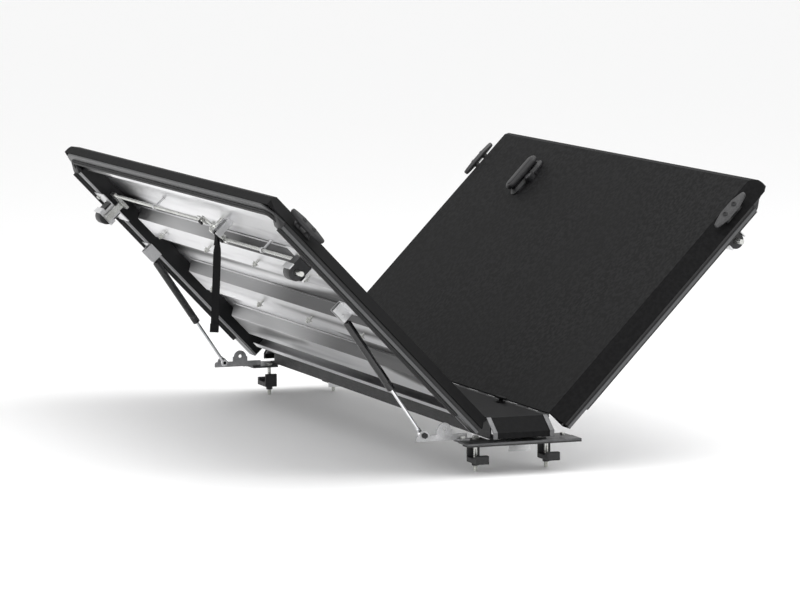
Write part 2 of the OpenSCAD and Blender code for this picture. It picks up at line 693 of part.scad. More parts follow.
in_front() panel_skin(front_handle_x, front_handle_u);  // front_skin
in_front() side_rails();  // front_side_rails
in_front() edge_channel();  // front_edge_channel
in_front() ribs();  // front_ribs
in_front() panel_bolts(front_handle_u);  // front_panel_bolts
in_front() panel_seals();  // front_seals
in_front() cleats();  // front_cleats
in_front() handle_base(front_handle_x, front_handle_u);  // front_handle_base
in_front() handle(front_handle_x, front_handle_u);  // front_handle
in_front() rotor(front_handle_x, front_handle_u);  // front_rotor
in_front() lock_cylinder(front_handle_x, front_handle_u);  // front_lock_cylinder
in_front() latch_brackets(front_handle_x, front_handle_u, [-560, 0, 350], false);  // front_latch_brackets
in_front() latch_guides(front_handle_u);  // front_latch_guides
in_front() strut_clevis(front_strut_x, front_pivot, crown_z, 640);  // front_strut_brackets
in_front() latch_rod_left(front_handle_x, front_handle_u);  // front_latch_rod_left
in_front() latch_rod_right(front_handle_x, front_handle_u);  // front_latch_rod_right

on_left() rear_strut() strut_cylinder(rear_cyl_len);  // rear_strut_cylinder_left
on_left() rear_strut() strut_rod(rear_cyl_len, rear_open_len);  // rear_strut_rod_left
rear_strut() strut_cylinder(rear_cyl_len);  // rear_strut_cylinder_right
rear_strut() strut_rod(rear_cyl_len, rear_open_len);  // rear_strut_rod_right
on_left() front_strut() strut_cylinder(front_cyl_len);  // front_strut_cylinder_left
on_left() front_strut() strut_rod(front_cyl_len, front_open_len);  // front_strut_rod_left
front_strut() strut_cylinder(front_cyl_len);  // front_strut_cylinder_right
front_strut() strut_rod(front_cyl_len, front_open_len);  // front_strut_rod_right
pull_strap();
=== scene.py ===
"""Folding tonneau cover with both panels standing open: materials, finer pieces, light and camera.

Metres, in the frame of the CAD model: +X the vehicle's right, +Y towards the cab, +Z up.
"""

import json
import math

import bmesh
import bpy
from mathutils import Matrix, Vector


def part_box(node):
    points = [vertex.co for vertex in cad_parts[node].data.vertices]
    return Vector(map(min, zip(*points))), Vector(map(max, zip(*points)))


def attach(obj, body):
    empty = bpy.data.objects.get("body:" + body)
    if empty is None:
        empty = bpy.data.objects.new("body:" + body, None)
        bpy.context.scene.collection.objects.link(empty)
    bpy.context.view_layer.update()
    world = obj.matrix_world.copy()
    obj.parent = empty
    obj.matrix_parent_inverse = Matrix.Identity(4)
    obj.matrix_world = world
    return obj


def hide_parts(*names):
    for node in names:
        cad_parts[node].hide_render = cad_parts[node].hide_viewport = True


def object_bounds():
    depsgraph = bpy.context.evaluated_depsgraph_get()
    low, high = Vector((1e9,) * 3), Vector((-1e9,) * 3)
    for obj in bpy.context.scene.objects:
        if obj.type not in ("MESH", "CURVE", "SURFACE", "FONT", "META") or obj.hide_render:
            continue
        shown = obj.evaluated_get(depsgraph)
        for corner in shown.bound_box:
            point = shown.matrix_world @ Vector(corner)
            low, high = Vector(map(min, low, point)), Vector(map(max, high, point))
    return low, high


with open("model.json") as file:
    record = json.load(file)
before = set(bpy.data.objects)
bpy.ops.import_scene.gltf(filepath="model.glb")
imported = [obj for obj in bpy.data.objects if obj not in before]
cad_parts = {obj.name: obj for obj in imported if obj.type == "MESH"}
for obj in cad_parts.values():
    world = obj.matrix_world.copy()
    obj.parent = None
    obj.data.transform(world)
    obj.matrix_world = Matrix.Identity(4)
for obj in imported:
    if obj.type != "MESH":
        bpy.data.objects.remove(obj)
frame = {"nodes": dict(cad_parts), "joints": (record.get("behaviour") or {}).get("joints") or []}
cad_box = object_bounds()

MM = 0.001
SIDES = ("rear", "front")
HANDS = ("left", "right")
joints = {j["name"]: j for j in frame["joints"]}


# ---------- panel frames ----------

class Panel:
    """A panel's own frame: x sideways, u away from the hinge axis, w above the top surface."""

    def __init__(self, side):
        joint = joints[side + "_panel_hinge"]
        lean = math.radians(joint["range_deg"][1])
        towards = 1 if side == "front" else -1
        self.side = side
        self.body = side + "_panel"
        self.along = Vector((0, towards * math.cos(lean), math.sin(lean)))
        self.up = Vector((0, -towards * math.sin(lean), math.cos(lean)))
        axis = Vector(joint["pos_m"])
        skin = frame["nodes"][side + "_skin"].data.vertices
        height = max((v.co - axis).dot(self.up) for v in skin)
        self.origin = axis + self.up * height
        columns = (Vector((1, 0, 0)), self.along, self.up)
        self.matrix = Matrix.Translation(self.origin) @ Matrix(columns).transposed().to_4x4()

    def local(self, point):
        d = Vector(point) - self.origin
        return Vector((d.x, d.dot(self.along), d.dot(self.up)))

    def box(self, node):
        """Lowest and highest (x, u, w) of a CAD node."""
        points = [self.local(v.co) for v in frame["nodes"][node].data.vertices]
        low = Vector(min(p[i] for p in points) for i in range(3))
        high = Vector(max(p[i] for p in points) for i in range(3))
        return low, high


panels = {side: Panel(side) for side in SIDES}


# ---------- material tools ----------

class Nodes:
    """Short names for building one material's node tree."""

    def __init__(self, name):
        self.material = bpy.data.materials.new(name)
        self.material.use_nodes = True
        self.tree = self.material.node_tree
        self.shader = self.tree.nodes["Principled BSDF"]
        coords = self.add("ShaderNodeTexCoord")
        self.place = coords.outputs["Object"]
        self.normal = coords.outputs["Normal"]

    def add(self, kind, **values):
        node = self.tree.nodes.new(kind)
        for name, value in values.items():
            setattr(node, name, value)
        return node

    def link(self, source, target):
        self.tree.links.new(source, target)

    def feed(self, socket, value):
        """Links a socket, or sets a plain value."""
        if isinstance(value, bpy.types.NodeSocket):
            self.link(value, socket)
        else:
            socket.default_value = value

    def maths(self, operation, a, b=0.0, clamp=False):
        node = self.add("ShaderNodeMath", operation=operation, use_clamp=clamp)
        self.feed(node.inputs[0], a)
        self.feed(node.inputs[1], b)
        return node.outputs[0]

    def dot(self, vector, direction):
        node = self.add("ShaderNodeVectorMath", operation="DOT_PRODUCT")
        self.link(vector, node.inputs[0])
        node.inputs[1].default_value = direction
        return node.outputs["Value"]

    def panel_place(self, panel):
        """The place in a panel's own frame, as a vector (x, u, w)."""
        shift = self.add("ShaderNodeVectorMath", operation="SUBTRACT")
        self.link(self.place, shift.inputs[0])
        shift.inputs[1].default_value = panel.origin
        joined = self.add("ShaderNodeCombineXYZ")
        for i, direction in enumerate(((1, 0, 0), panel.along, panel.up)):
            self.link(self.dot(shift.outputs[0], direction), joined.inputs[i])
        return joined.outputs[0]

    def scaled(self, vector, scale):
        node = self.add("ShaderNodeMapping")
        self.link(vector, node.inputs["Vector"])
        node.inputs["Scale"].default_value = scale
        return node.outputs[0]

    def noise(self, vector, scale, detail=3.0, rough=0.55, distortion=0.0):
        node = self.add("ShaderNodeTexNoise")
        self.link(vector, node.inputs["Vector"])
        node.inputs["Scale"].default_value = scale
        node.inputs["Detail"].default_value = detail
        node.inputs["Roughness"].default_value = rough
        node.inputs["Distortion"].default_value = distortion
        return node.outputs["Fac"]

    def spread(self, value, low, high, out_low=0.0, out_high=1.0, smooth=False):
        """Maps low..high to out_low..out_high, and holds it there."""
        node = self.add("ShaderNodeMapRange", clamp=True)
        if smooth:
            node.interpolation_type = "SMOOTHSTEP"
        self.feed(node.inputs["Value"], value)
        node.inputs["From Min"].default_value = low
        node.inputs["From Max"].default_value = high
        node.inputs["To Min"].default_value = out_low
        node.inputs["To Max"].default_value = out_high
        return node.outputs["Result"]

    def blend(self, factor, a, b):
        """Colour a where factor is 0, and b where it is 1."""
        node = self.add("ShaderNodeMix", data_type="RGBA")
        self.feed(node.inputs["Factor"], factor)
        for socket, value in ((node.inputs[6], a), (node.inputs[7], b)):
            self.feed(socket, value if isinstance(value, bpy.types.NodeSocket) else (*value, 1.0))
        return node.outputs[2]

    def mix_value(self, factor, a, b):
        node = self.add("ShaderNodeMix", data_type="FLOAT")
        for socket, value in zip(node.inputs[:4], (factor, None, a, b)):
            if value is not None:
                self.feed(socket, value)
        return node.outputs[0]

    def bump(self, height, distance, strength=1.0, below=None):
        node = self.add("ShaderNodeBump")
        node.inputs["Strength"].default_value = strength
        node.inputs["Distance"].default_value = distance
        self.link(height, node.inputs["Height"])
        if below is not None:
            self.link(below, node.inputs["Normal"])
        return node.outputs["Normal"]

    def finish(self, colour=None, rough=None, metal=None, normal=None, **numbers):
        values = {"Base Color": colour, "Roughness": rough, "Metallic": metal, "Normal": normal}
        for name, value in values.items():
            if value is None:
                continue
            if isinstance(value, tuple):
                value = (*value, 1.0)
            self.feed(self.shader.inputs[name], value)
        for name, value in numbers.items():
            self.shader.inputs[name.replace("_", " ")].default_value = value
        return self.material


# ---------- materials ----------

COAT = (0.0095, 0.0095, 0.0099)
COAT_LIGHT = (0.0190, 0.0190, 0.0196)
COAT_DARK = (0.0035, 0.0035, 0.0037)
# Painted shade for the coat's sloping bevels, darker than the top
COAT_SLOPE_SHADE = (0.0070, 0.0070, 0.0073)
DEEP = 0.1            # how far the point that tells outside from inside lies under a sheet's top
SHEET_FOOT = 0.0325   # from the top to the cut edge along a sheet's foot, which is coated too
ALUMINIUM = (0.80, 0.80, 0.81)
# Darker tone of the reflection bands painted into bare aluminium
ALUMINIUM_REFLECTION_DARK = (0.34, 0.34, 0.35)
# Near-black colour of the reflections painted on bare metal
PAINTED_REFLECTION_DARK = (0.014, 0.014, 0.015)

# Dark reflections painted on the bare metal, each a wedge: x of tip and of wide end, u at both, half width
REAR_PAINTED_REFLECTIONS = (
    (-0.50, -0.76, 0.700, 0.705, 0.050),
    (-0.36, -0.64, 0.553, 0.556, 0.022),
    (-0.11, 0.70, 0.337, 0.368, 0.036),
    (-0.10, -0.72, 0.140, 0.112, 0.036),
    (0.10, 0.60, 0.205, 0.155, 0.036),
    (0.30, -0.76, 0.390, 0.384, 0.012),
    (-0.10, 0.72, 0.300, 0.290, 0.010),
    (0.10, 0.74, 0.690, 0.660, 0.012),
)
FRONT_PAINTED_REFLECTIONS = (
    (0.42, 0.76, 0.600, 0.640, 0.050),
    (-0.30, -0.76, 0.380, 0.392, 0.020),
    (-0.10, 0.70, 0.205, 0.196, 0.018),
)


def coat_parts(n, place):
    """Colour, roughness and height of the fine-grained black coat."""
    grain = n.noise(place, 620.0, 2.0, 0.6)
    clump = n.noise(place, 105.0, 2.0, 0.5)
    cloud = n.noise(place, 3.0, 3.0, 0.5)
    speckle = n.maths("ADD", n.maths("MULTIPLY", grain, 0.3), n.maths("MULTIPLY", clump, 0.7))
    colour = n.blend(n.spread(speckle, 0.42, 0.60), COAT_DARK, COAT_LIGHT)
    colour = n.blend(n.spread(cloud, 0.3, 0.7, 0.0, 0.35), colour, COAT)
    rough = n.spread(speckle, 0.3, 0.7, 0.56, 0.70)
    return colour, rough, grain


def wedge(n, x, u, tip_x, wide_x, tip_u, wide_u, half):
    """A dark reflection painted as a wedge that starts at a point and widens along x, from 0 to 1."""
    along = n.spread(x, tip_x, wide_x)
    centre = n.spread(x, tip_x, wide_x, tip_u, wide_u)
    apart = n.maths("ABSOLUTE", n.maths("SUBTRACT", u, centre))
    edge = n.maths("SUBTRACT", apart, n.maths("MULTIPLY", along, half))
    body = n.spread(edge, -0.012, 0.014, 1.0, 0.0, smooth=True)
    return n.maths("MULTIPLY", body, n.spread(along, 0.0, 0.10))


def streak_parts(n, place, wave, wedges=(), web=None):
    """Colour, roughness and normal of bare aluminium rolled along x: fine lines in its roughness and bumps,
    and broad dark bands painted into its colour as reflections.

    wedges are dark reflections painted as narrow wedges; web is a mask of sloping faces, on which a dark
    reflection is painted that goes darker to the right.
    """
    fine = n.noise(n.scaled(place, (6.0, 900.0, 900.0)), 1.0, 3.0, 0.6)
    band = n.noise(n.scaled(place, (1.1, 17.0, 17.0)), 1.0, 2.0, 0.5, 0.25)
    broad = n.noise(n.scaled(place, (0.7, 6.0, 6.0)), 1.0, 2.0, 0.5, 0.5)
    # Broad dark bands painted into the colour as reflections; they also raise the roughness a little
    reflection_bands = n.maths("MULTIPLY", n.spread(band, 0.50, 0.68, smooth=True), 0.55)
    reflection_bands = n.maths("ADD", reflection_bands, n.maths("MULTIPLY", n.spread(broad, 0.52, 0.66, smooth=True), 0.45), True)
    colour = n.blend(reflection_bands, ALUMINIUM, ALUMINIUM_REFLECTION_DARK)
    split = n.add("ShaderNodeSeparateXYZ")
    n.link(place, split.inputs[0])
    x, u = split.outputs[0], split.outputs[1]
    u = n.maths("ADD", u, n.maths("MULTIPLY", n.maths("SUBTRACT", broad, 0.5), 0.05))
    dark = None
    for values in wedges:
        streak = wedge(n, x, u, *values)
        dark = streak if dark is None else n.maths("MAXIMUM", dark, streak)
    # Painted dark reflection on the webs, darker to the right
    if web is not None:
        shade = n.maths("MULTIPLY", web, n.spread(x, -0.40, 0.15, 0.50, 1.0, smooth=True))
        dark = shade if dark is None else n.maths("MAXIMUM", dark, shade)
    # The wedges and the webs' shade are painted dark reflections, mixed into the colour here
    if dark is not None:
        colour = n.blend(n.maths("MULTIPLY", dark, 0.96), colour, PAINTED_REFLECTION_DARK)
    rough = n.maths("ADD", n.spread(fine, 0.3, 0.7, 0.28, 0.36), n.maths("MULTIPLY", reflection_bands, 0.12))
    swell = n.bump(broad, wave)
    ripple = n.bump(band, wave * 0.12, below=swell)
    normal = n.bump(fine, 0.000006, 0.5, below=ripple)
    return colour, rough, normal


def skin_material(name, centre, up, place_of, painted_reflections=()):
    """One sheet: coated outside, bare inside. centre lies deep under the sheet."""
    n = Nodes(name)
    place = place_of(n)
    coat_colour, coat_rough, coat_height = coat_parts(n, n.place)
    bare_colour, bare_rough, bare_normal = streak_parts(n, place, 0.02, painted_reflections)
    shift = n.add("ShaderNodeVectorMath", operation="SUBTRACT")
    n.link(n.place, shift.inputs[0])
    shift.inputs[1].default_value = centre
    facing = n.add("ShaderNodeVectorMath", operation="DOT_PRODUCT")
    n.link(n.normal, facing.inputs[0])
    n.link(shift.outputs[0], facing.inputs[1])
    outside = n.maths("GREATER_THAN", facing.outputs["Value"], 0.0)
    depth = n.dot(shift.outputs[0], up)
    foot = n.maths("LESS_THAN", depth, DEEP - SHEET_FOOT)
    is_coated = n.maths("MAXIMUM", outside, foot)
    # Painted shade: faces that slope away from the top, as the bevels, are painted darker as if lit from
    # above
    slope = n.spread(n.dot(n.normal, up), 0.86, 0.97, 0.72, 0.0)
    coat_colour = n.blend(slope, coat_colour, COAT_SLOPE_SHADE)
    colour = n.blend(is_coated, bare_colour, coat_colour)
    rough = n.mix_value(is_coated, bare_rough, coat_rough)
    metal = n.maths("SUBTRACT", 1.0, is_coated)
    coat_normal = n.bump(coat_height, 0.00016, 0.3)
    normals = n.add("ShaderNodeMix", data_type="VECTOR")
    n.link(is_coated, normals.inputs["Factor"])
    n.link(bare_normal, normals.inputs[4])
    n.link(coat_normal, normals.inputs[5])
    return n.finish(colour, rough, metal, normals.outputs[1], Specular_IOR_Level=0.06)


def coated(name, grain=1.0):
    n = Nodes(name)
    colour, rough, height = coat_parts(n, n.scaled(n.place, (grain, grain, grain)))
    return n.finish(colour, rough, 0.0, n.bump(height, 0.00016, 0.3), Specular_IOR_Level=0.06)


def mill_aluminium(name, panel, painted_reflections):
    """Bare stiffeners: bright crowns, and a dark reflection painted on the webs that face the far edge."""
    n = Nodes(name)
    web = n.spread(n.dot(n.normal, panel.along), 0.25, 0.6)
    colour, rough, normal = streak_parts(n, n.panel_place(panel), 0.012, painted_reflections, web)
    return n.finish(colour, rough, 1.0, normal)


def rail_material(name, panel):
    """Black extrusion with an anodic coat, grey along the outer foot of the side rails and the foot of the
    far rail, and bright metal along the inboard foot.
    """
    n = Nodes(name)
    place = n.panel_place(panel)
    split = n.add("ShaderNodeSeparateXYZ")
    n.link(place, split.inputs[0])
    edge_wobble = n.noise(n.scaled(place, (30.0, 30.0, 300.0)), 1.0, 3.0, 0.6)
    edge = n.maths("ADD", split.outputs[2], n.maths("MULTIPLY", edge_wobble, 0.0012))
    outer = n.spread(n.maths("ABSOLUTE", split.outputs[0]), 0.770, 0.772)
    side_lip = n.maths("MULTIPLY", n.spread(edge, -0.0428, -0.0418, 1.0, 0.0), outer)
    across = n.spread(split.outputs[1], 0.700, 0.704)
    far_band = n.maths("MULTIPLY", across, n.spread(edge, -0.0327, -0.0322, 0.42, 0.0))
    lip = n.mix_value(across, side_lip, far_band)
    fine = n.noise(n.scaled(place, (12.0, 900.0, 900.0)), 1.0, 3.0, 0.6)
    grey = n.blend(n.spread(fine, 0.3, 0.7), (0.095, 0.096, 0.098), (0.140, 0.141, 0.144))
    black = n.blend(n.spread(fine, 0.3, 0.7), (0.006, 0.006, 0.007), (0.016, 0.016, 0.017))
    inner = n.spread(n.maths("ABSOLUTE", split.outputs[0]), 0.7496, 0.7502, 1.0, 0.0)
    bare = n.maths("MULTIPLY", n.maths("MULTIPLY", n.spread(edge, -0.0442, -0.0432, 1.0, 0.0), inner), 0.8)
    lip_and_bare = n.maths("MAXIMUM", lip, bare)
    rough = n.mix_value(lip_and_bare, n.spread(fine, 0.3, 0.7, 0.38, 0.52), n.spread(fine, 0.3, 0.7, 0.30, 0.42))
    metal = n.mix_value(lip_and_bare, 0.35, 1.0)
    colour = n.blend(bare, n.blend(lip, black, grey), (0.62, 0.62, 0.63))
    return n.finish(colour, rough, metal, n.bump(fine, 0.00003, 0.5))


def brushed(name, colour, dark, rough_low, rough_high, lines=(40.0, 900.0, 900.0), metal=1.0):
    """Metal with fine lines and slow stains."""
    n = Nodes(name)
    fine = n.noise(n.scaled(n.place, lines), 1.0, 2.0, 0.6)
    stain = n.noise(n.place, 38.0, 4.0, 0.6)
    mottle = n.noise(n.place, 420.0, 2.0, 0.5)
    shade = n.maths("ADD", n.maths("MULTIPLY", stain, 0.65), n.maths("MULTIPLY", mottle, 0.35))
    tone = n.blend(n.spread(shade, 0.35, 0.68), colour, dark)
    rough = n.spread(n.maths("MULTIPLY", n.maths("ADD", fine, shade), 0.5), 0.35, 0.65, rough_low, rough_high)
    return n.finish(tone, rough, metal, n.bump(fine, 0.00004, 0.5))


def moulded(name, colour, light, rough_low, rough_high, scale=650.0, height=0.00015, metal=0.0):
    """Grained plastic, rubber or casting."""
    n = Nodes(name)
    grain = n.noise(n.place, scale, 3.0, 0.6)
    cloud = n.noise(n.place, 24.0, 3.0, 0.5)
    tone = n.blend(n.spread(grain, 0.35, 0.7), colour, light)
    tone = n.blend(n.spread(cloud, 0.45, 0.7, 0.0, 0.4), tone, light)
    rough = n.spread(grain, 0.3, 0.7, rough_low, rough_high)
    return n.finish(tone, rough, metal, n.bump(grain, height, 0.6))


def polished_rod(name, axis_scale):
    n = Nodes(name)
    lines = n.noise(n.scaled(n.place, axis_scale), 1.0, 2.0, 0.5)
    film = n.noise(n.place, 30.0, 3.0, 0.6)
    colour = n.blend(n.spread(film, 0.4, 0.7), (0.86, 0.86, 0.87), (0.70, 0.71, 0.73))
    rough = n.spread(n.maths("MULTIPLY", n.maths("ADD", lines, film), 0.5), 0.3, 0.7, 0.06, 0.2)
    return n.finish(colour, rough, 1.0, n.bump(lines, 0.00001, 0.5))


def gloss_black(name, rough_low=0.16, rough_high=0.30):
    n = Nodes(name)
    peel = n.noise(n.place, 260.0, 2.0, 0.5)
    dust = n.noise(n.place, 1500.0, 2.0, 0.6)
    film = n.noise(n.place, 20.0, 3.0, 0.6)
    colour = n.blend(n.spread(dust, 0.62, 0.75, 0.0, 0.5), (0.009, 0.009, 0.010), (0.035, 0.035, 0.036))
    rough = n.spread(film, 0.3, 0.7, rough_low, rough_high)
    return n.finish(colour, rough, 0.0, n.bump(peel, 0.00006, 0.4), Coat_Weight=0.35, Coat_Roughness=0.12)


def webbing_material(name):
    n = Nodes(name)
    weave = n.add("ShaderNodeTexWave", wave_type="BANDS", bands_direction="Z")
    n.link(n.place, weave.inputs["Vector"])
    weave.inputs["Scale"].default_value = 260.0
    weave.inputs["Distortion"].default_value = 1.2
    fuzz = n.noise(n.place, 1400.0, 3.0, 0.6)
    height = n.maths("ADD", n.maths("MULTIPLY", weave.outputs["Fac"], 0.6), n.maths("MULTIPLY", fuzz, 0.4))
    colour = n.blend(n.spread(height, 0.2, 0.8), (0.003, 0.003, 0.003), (0.011, 0.011, 0.012))
    rough = n.spread(fuzz, 0.3, 0.7, 0.7, 0.9)
    return n.finish(colour, rough, 0.0, n.bump(height, 0.0003, 0.7), Specular_IOR_Level=0.15)


def row_place(n):
    return n.place


def panel_place_of(panel):
    return lambda n: n.panel_place(panel)


PAINTED_REFLECTIONS = {"rear": REAR_PAINTED_REFLECTIONS, "front": FRONT_PAINTED_REFLECTIONS}


def closed_height():
    """Top surface of the centre section."""
    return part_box("centre_skin")[1].z


mats = {
    "coat_fitting": coated("fine_coat"),
    "plate": brushed("bright_plate", (0.74, 0.74, 0.75), (0.60, 0.605, 0.61), 0.28, 0.40, (60.0, 60.0, 20.0)),
    "zinc": brushed("bright_zinc", (0.72, 0.73, 0.71), (0.50, 0.50, 0.47), 0.20, 0.38, (500.0, 500.0, 500.0)),
    "black_steel": moulded(
        "black_hinge_steel", (0.006, 0.006, 0.007), (0.013, 0.013, 0.014), 0.5, 0.7, height=0.00005
    ),
    "strut_paint": gloss_black("strut_paint"),
    "rod": polished_rod("polished_rod", (60.0, 60.0, 900.0)),
    "rubber": moulded("seal_rubber", (0.010, 0.010, 0.010), (0.026, 0.026, 0.027), 0.62, 0.82),
    "plastic": moulded("grained_plastic", (0.006, 0.006, 0.007), (0.018, 0.018, 0.019), 0.40, 0.58),
    "casting": moulded(
        "black_casting", (0.009, 0.009, 0.010), (0.028, 0.028, 0.029), 0.46, 0.62, 420.0, 0.0003, 0.2
    ),
    "cleat": moulded(
        "cleat_casting", (0.040, 0.040, 0.041), (0.066, 0.066, 0.068), 0.34, 0.5, 300.0, 0.0002, 0.3
    ),
    # Near-black metal painted as shade, for parts that sit in shade
    "shade_black": brushed("shade_black_metal", (0.012, 0.012, 0.013), (0.022, 0.022, 0.023), 0.42, 0.6, metal=0.3),
    "trim": brushed("end_trim_satin", (0.17, 0.171, 0.174), (0.11, 0.111, 0.114), 0.42, 0.58),
    "dark_plate": brushed("mounting_plate_satin", (0.13, 0.131, 0.134), (0.075, 0.076, 0.078), 0.36, 0.52),
    "bracket": brushed(
        "bracket_steel", (0.50, 0.50, 0.51), (0.30, 0.302, 0.306), 0.30, 0.46, (300.0, 300.0, 40.0)
    ),
    "rail_plug": moulded("rail_plug_plastic", (0.006, 0.006, 0.007), (0.016, 0.016, 0.017), 0.42, 0.58),
    "post": brushed("cleat_post_steel", (0.42, 0.42, 0.43), (0.26, 0.26, 0.27), 0.26, 0.42),
    "webbing": webbing_material("strap_webbing"),
}
for side, panel in panels.items():
    deep = panel.origin + panel.along * 0.375 - panel.up * DEEP
    mats[side + "_skin"] = skin_material(
        side + "_sheet", deep, panel.up, panel_place_of(panel), PAINTED_REFLECTIONS[side]
    )
    mats[side + "_mill"] = mill_aluminium(side + "_mill_aluminium", panel, PAINTED_REFLECTIONS[side])
    mats[side + "_rail"] = rail_material(side + "_rail_extrusion", panel)
mats["centre_skin"] = skin_material(
    "centre_sheet", Vector((0, 0, closed_height() - DEEP)), Vector((0, 0, 1)), row_place
)

look = {
    # The cross channels and the hinge pins take the near-black metal as painted shade: under the centre
    # section, and in the hinge gaps.
    "centre_skin": "centre_skin", "cross_channels": "shade_black", "centre_end_trims": "trim",
    "mounting_plates": "dark_plate", "plate_gaskets": "rubber", "mounting_bolts": "zinc",
    "strut_rail_brackets": "bracket", "strut_rail_studs": "black_steel",
    "front_strut_hangers": "plate", "clamp_jaw_rear_left": "casting",
    "clamp_jaw_rear_right": "casting", "clamp_jaw_front_left": "casting",
    "clamp_jaw_front_right": "casting", "centre_tie_downs": "coat_fitting",
    "hinge_pins": "shade_black", "pull_strap": "webbing",
}
for side in SIDES:
    look |= {
        side + "_hinge_fixed_leaf": "black_steel", side + "_hinge_moving_leaf": "black_steel",
        side + "_skin": side + "_skin", side + "_side_rails": side + "_rail",
        side + "_edge_channel": side + "_mill", side + "_ribs": side + "_mill",
        side + "_panel_bolts": "zinc", side + "_seals": "rubber", side + "_cleats": "cleat",
        side + "_handle_base": "plastic", side + "_handle": "plastic", side + "_rotor": "zinc",
        side + "_lock_cylinder": "post", side + "_latch_brackets": "plate",
        side + "_latch_guides": "plastic", side + "_strut_brackets": "plate",
    }
    for hand in HANDS:
        look[f"{side}_latch_rod_{hand}"] = "zinc"
        look[f"{side}_strut_cylinder_{hand}"] = "strut_paint"
        look[f"{side}_strut_rod_{hand}"] = "rod"


def soften(node, width):
    """Rounds a CAD node's hard edges."""
    piece = frame["nodes"][node]
    weld = piece.modifiers.new("weld", "WELD")
    weld.merge_threshold = 1e-5
    bevel = piece.modifiers.new("bevel", "BEVEL")
    bevel.width = width
    bevel.segments = 2
    bevel.limit_method = "ANGLE"
    bevel.angle_limit = math.radians(28)
    bevel.harden_normals = True


EDGE = {
    "skin": 1.2, "side_rails": 0.4, "ribs": 0.8, "edge_channel": 0.8, "seals": 1.5, "rotor": 0.6,
    "latch_brackets": 0.7, "latch_guides": 1.6, "strut_brackets": 0.9, "hangers": 0.9,
    "rod_left": 0.8, "rod_right": 0.8, "rail_brackets": 0.8, "cross_channels": 0.6, "trims": 0.5,
    "plates": 0.8, "gaskets": 0.6, "tie_downs": 1.2, "lock_cylinder": 0.4, "leaf": 0.4,
}
for node in frame["nodes"]:
    for ending, width in EDGE.items():
        if node.endswith(ending) and "strut_rod" not in node:
            soften(node, width * MM)
    if node.startswith("clamp_jaw"):
        soften(node, 1.5 * MM)
for node, key in look.items():
    piece = frame["nodes"][node]
    piece.data.materials.clear()
    piece.data.materials.append(mats[key])


# ---------- mesh tools ----------

def placed(base, x=0.0, y=0.0, z=0.0):
    """A frame moved by a step in mm."""
    return base @ Matrix.Translation(Vector((x, y, z)) * MM)


MIRROR = Matrix.Diagonal((-1, 1, 1, 1))


class Shape:
    """Points and faces of one piece; every step is given in mm and stored in metres."""

    def __init__(self):
        self.points = []
        self.faces = []

    def loft(self, rings, base, closed=False):
        """Skins rings that have the same number of points. closed joins the last to the first."""
        start, count = len(self.points), len(rings[0])
        for ring in rings:
            self.points += [base @ (Vector(p) * MM) for p in ring]
        for i in range(len(rings) if closed else len(rings) - 1):
            a, b = start + i * count, start + (i + 1) % len(rings) * count
            for k in range(count):
                n = (k + 1) % count
                self.faces.append((a + k, a + n, b + n, b + k))
        if not closed:
            last = start + (len(rings) - 1) * count
            self.faces.append(tuple(range(start, start + count)))
            self.faces.append(tuple(range(last, last + count)))

    def turned(self, profile, base, sides=32, closed=False):
        """A body of revolution about z, from (radius, height) pairs."""
        turns = [2 * math.pi * k / sides for k in range(sides)]
        rings = [[(r * math.cos(t), r * math.sin(t), h) for t in turns] for r, h in profile]
        self.loft(rings, base, closed)

    def hexagon(self, reach, low, high, base, bore=0.0):
        """A nut or bolt head with chamfered corners. reach is from the axis to a corner."""
        flat = reach * math.cos(math.pi / 6)

        def ring(limit, h):
            out = []
            for k in range(48):
                t = 2 * math.pi * k / 48
                fold = (t + math.pi / 6) % (math.pi / 3) - math.pi / 6
                r = min(flat / math.cos(fold), limit)
                out.append((r * math.cos(t), r * math.sin(t), h))
            return out

        rise = (high - low) * 0.16
        eased = flat * 0.96
        rings = [ring(eased, low), ring(reach, low + rise), ring(reach, high - rise), ring(eased, high)]
        if bore:
            self.loft([ring(bore, low), *rings, ring(bore, high)], base, closed=True)
        else:
            self.loft(rings, base)

    def block(self, low, high, base, edge=0.8):
        """A box with rounded upright edges and eased rims."""
        (x0, y0, z0), (x1, y1, z1) = low, high

        def ring(inset, z):
            r = max(edge - inset * 0.5, 0.05)
            out = []
            corners = ((x1, y1, 0), (x0, y1, 1), (x0, y0, 2), (x1, y0, 3))
            for cx, cy, quarter in corners:
                sx, sy = (1 if cx == x1 else -1), (1 if cy == y1 else -1)
                for k in range(5):
                    t = math.pi / 2 * (quarter + k / 4)
                    x = cx - sx * (r + inset) + r * math.cos(t)
                    y = cy - sy * (r + inset) + r * math.sin(t)
                    out.append((x, y, z))
            return out

        e = edge
        steps = ((e, z0), (e * 0.3, z0 + e * 0.3), (0, z0 + e), (0, z1 - e), (e * 0.3, z1 - e * 0.3), (e, z1))
        self.loft([ring(i, z) for i, z in steps], base)

    def piece(self, name, key, body, replaced=(), sharp=32):
        mesh = bpy.data.meshes.new(name)
        mesh.from_pydata(self.points, [], self.faces)
        work = bmesh.new()
        work.from_mesh(mesh)
        bmesh.ops.recalc_face_normals(work, faces=work.faces)
        work.to_mesh(mesh)
        work.free()
        mesh.polygons.foreach_set("use_smooth", [True] * len(mesh.polygons))
        mesh.set_sharp_from_angle(angle=math.radians(sharp))
        mesh.materials.append(mats[key])
        obj = bpy.data.objects.new(name, mesh)
        bpy.context.scene.collection.objects.link(obj)
        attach(obj, body)
        if replaced:
            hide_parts(*replaced)
        return obj


def stadium(long, wide, inset, height):
    """A ring with round ends, long along y."""
    r = wide / 2 - inset
    half = (long - wide) / 2
    out = []
    for sign, start in ((1, 0.0), (-1, math.pi)):
        for k in range(17):
            t = start + math.pi * k / 16
            out.append((r * math.cos(t), sign * half + r * math.sin(t), height))
    return out


